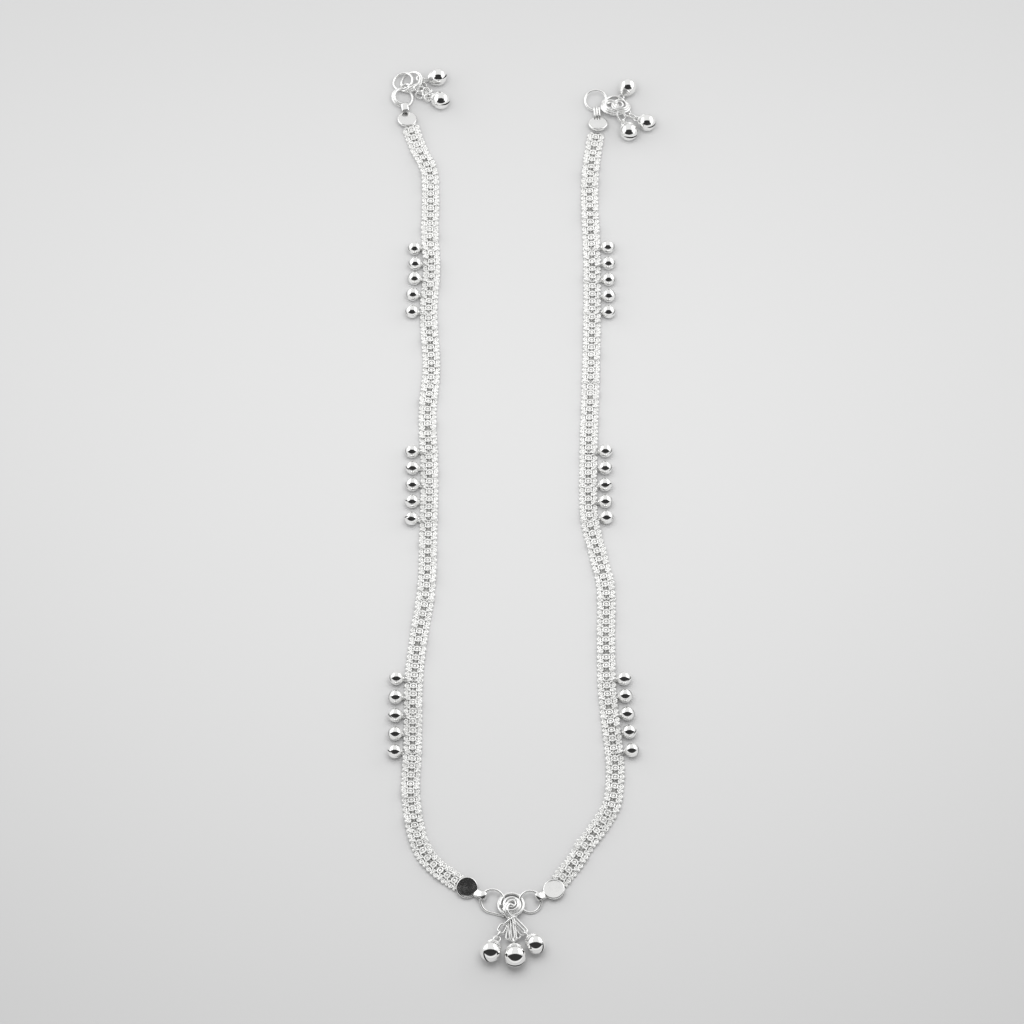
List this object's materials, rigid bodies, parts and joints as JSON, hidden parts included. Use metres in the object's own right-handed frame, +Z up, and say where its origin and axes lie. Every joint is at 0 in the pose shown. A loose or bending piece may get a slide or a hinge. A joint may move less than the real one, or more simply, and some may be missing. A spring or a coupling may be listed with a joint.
{
  "type": "anklet",
  "caption": "Payal anklet of two flat mesh-chain strands on a ring clasp, edged with small hanging bells, with larger bells in clusters at its ends, lying open",
  "frame": {"origin": "on the surface the anklet lies on, under the centre of its bounding box", "axes": "+Y runs along the strands away from the clasp, +X is to the right when seen from above with the clasp nearest, +Z is up"},
  "size_m": [0.0766, 0.2716, 0.0051],
  "materials": {
    "chain": "bright silver mesh of small soldered wire links, polished on the high points and dark in the holes",
    "bell": "mirror-polished silver",
    "plate": "polished silver with fine scratches",
    "wire": "polished silver wire"
  },
  "bodies": {
    "root": {"chain_left": "chain", "chain_right": "chain", "clasp_end_ring": "wire", "clasp_hook": "wire", "clasp_ring": "wire", "drop_bell_bottom_left": "bell", "drop_bell_bottom_middle": "bell", "drop_bell_bottom_right": "bell", "drop_bell_top_left_1": "bell", "drop_bell_top_left_2": "bell", "drop_bell_top_right_1": "bell", "drop_bell_top_right_2": "bell", "drop_bell_top_right_3": "bell", "drop_carrier_ring": "wire", "drop_link_bottom_left": "wire", "drop_link_bottom_middle": "wire", "drop_link_bottom_right": "wire", "drop_link_top_left_1": "wire", "drop_link_top_left_2": "wire", "drop_link_top_right_2": "wire", "drop_link_top_right_3": "wire", "end_plate_bottom_left": "plate", "end_plate_bottom_right": "plate", "end_plate_top_left": "plate", "end_plate_top_right": "plate", "side_bell_left_01": "bell", "side_bell_left_02": "bell", "side_bell_left_03": "bell", "side_bell_left_04": "bell", "side_bell_left_05": "bell", "side_bell_left_06": "bell", "side_bell_left_07": "bell", "side_bell_left_08": "bell", "side_bell_left_09": "bell", "side_bell_left_10": "bell", "side_bell_left_11": "bell", "side_bell_left_12": "bell", "side_bell_left_13": "bell", "side_bell_left_14": "bell", "side_bell_left_15": "bell", "side_bell_right_01": "bell", "side_bell_right_02": "bell", "side_bell_right_03": "bell", "side_bell_right_04": "bell", "side_bell_right_05": "bell", "side_bell_right_06": "bell", "side_bell_right_07": "bell", "side_bell_right_08": "bell", "side_bell_right_09": "bell", "side_bell_right_10": "bell", "side_bell_right_11": "bell", "side_bell_right_12": "bell", "side_bell_right_13": "bell", "side_bell_right_14": "bell", "side_bell_right_15": "bell", "top_left_ring_1": "wire", "top_left_ring_2": "wire", "top_right_ring_1": "wire", "top_right_ring_2": "wire"}
  },
  "joints": []
}
